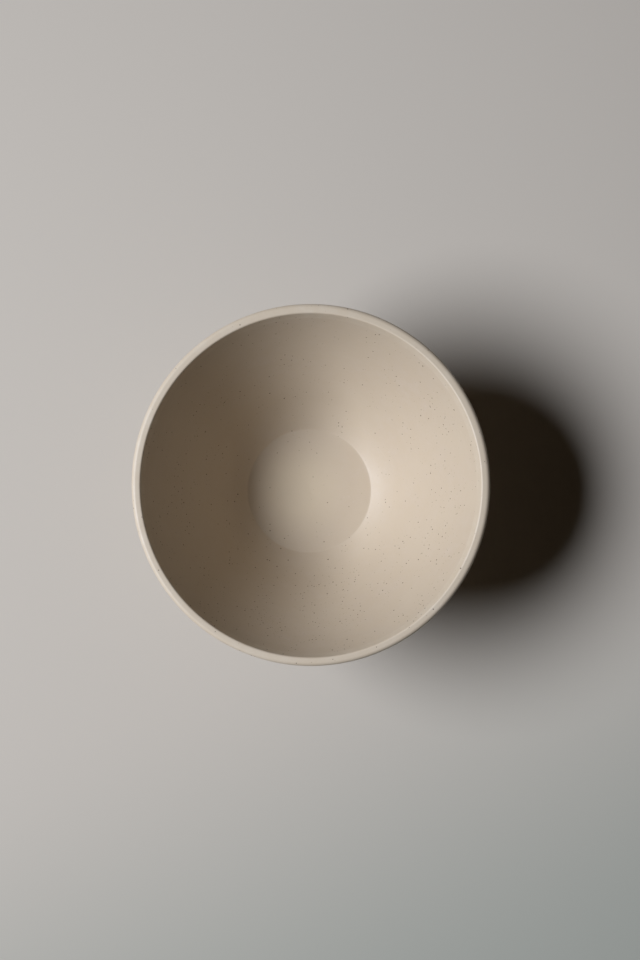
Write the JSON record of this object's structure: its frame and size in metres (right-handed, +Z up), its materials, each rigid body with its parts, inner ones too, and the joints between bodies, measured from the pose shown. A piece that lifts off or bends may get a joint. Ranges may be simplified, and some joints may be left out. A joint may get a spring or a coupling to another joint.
{
  "type": "latte bowl",
  "caption": "Wide stoneware bowl without a handle, on a low foot ring, that holds milky coffee and is lifted in the hands.",
  "frame": {"origin": "centre of the foot ring's face on the table", "axes": "+Z up along the bowl's axis, out of its mouth; the bowl is the same all round, so X and Y are any two directions across it"},
  "size_m": [0.14, 0.14, 0.074],
  "materials": {
    "fired_clay": "bare buff stoneware with fine iron specks, dry and slightly rough",
    "speckled_glaze": "satin oatmeal glaze over speckled clay, with fine dark brown pin specks",
    "lip_glaze": "the same satin glaze, a little paler and with fewer specks"
  },
  "bodies": {
    "root": {"clay_body": "fired_clay", "foot_ring": "fired_clay", "inside_glaze": "speckled_glaze", "lip_glaze": "lip_glaze", "outside_glaze": "speckled_glaze", "recess_glaze": "speckled_glaze"}
  },
  "joints": []
}
